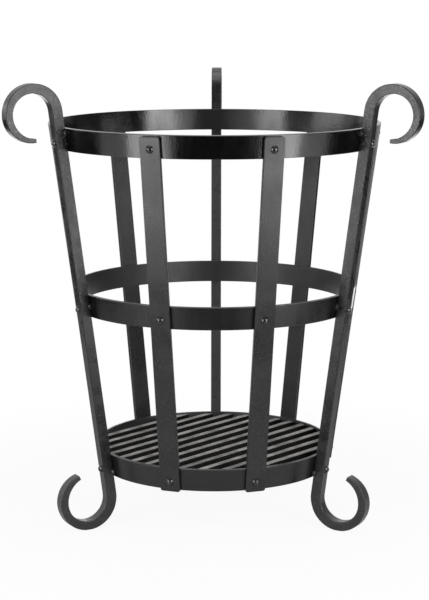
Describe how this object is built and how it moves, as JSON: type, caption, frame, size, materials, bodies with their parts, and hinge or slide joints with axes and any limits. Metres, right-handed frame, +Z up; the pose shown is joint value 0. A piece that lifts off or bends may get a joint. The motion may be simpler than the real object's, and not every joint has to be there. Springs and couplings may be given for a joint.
{
  "type": "fire basket",
  "caption": "Round tapered fire basket of riveted black flat bar, with square legs ending in forged scrolls above and below and a grate of parallel bars in the bottom hoop.",
  "frame": {"origin": "on the floor, on the basket's vertical axis, midway between the scroll feet", "axes": "+Z up along the basket's axis, +Y towards the back leg, +X to the right as seen from the front, which is -Y"},
  "size_m": [0.4446, 0.4393, 0.497],
  "materials": {
    "hoop_paint": "satin black paint, a little glossier than the uprights",
    "leg_paint": "satin black paint over forged steel",
    "slat_paint": "satin black paint over rolled steel",
    "rivet_paint": "gloss black paint",
    "weld_paint": "satin black paint over rough weld metal",
    "grate_paint": "matt black paint, dusty on the top faces"
  },
  "bodies": {
    "root": {"bottom_hoop": "hoop_paint", "middle_hoop": "hoop_paint", "top_hoop": "hoop_paint", "leg_front_right": "leg_paint", "leg_back": "leg_paint", "leg_front_left": "leg_paint", "slat_right": "slat_paint", "slat_back_right": "slat_paint", "slat_back_left": "slat_paint", "slat_left": "slat_paint", "slat_front_left": "slat_paint", "slat_front_right": "slat_paint", "bottom_leg_rivets": "rivet_paint", "bottom_slat_rivets": "rivet_paint", "middle_leg_rivets": "rivet_paint", "middle_slat_rivets": "rivet_paint", "top_leg_rivets": "rivet_paint", "top_slat_rivets": "rivet_paint", "welds_front_right": "weld_paint", "welds_back": "weld_paint", "welds_front_left": "weld_paint", "grate_bar_01": "grate_paint", "grate_bar_02": "grate_paint", "grate_bar_03": "grate_paint", "grate_bar_04": "grate_paint", "grate_bar_05": "grate_paint", "grate_bar_06": "grate_paint", "grate_bar_07": "grate_paint", "grate_bar_08": "grate_paint", "grate_bar_09": "grate_paint", "grate_bar_10": "grate_paint", "grate_bar_11": "grate_paint", "grate_bar_12": "grate_paint"}
  },
  "joints": []
}
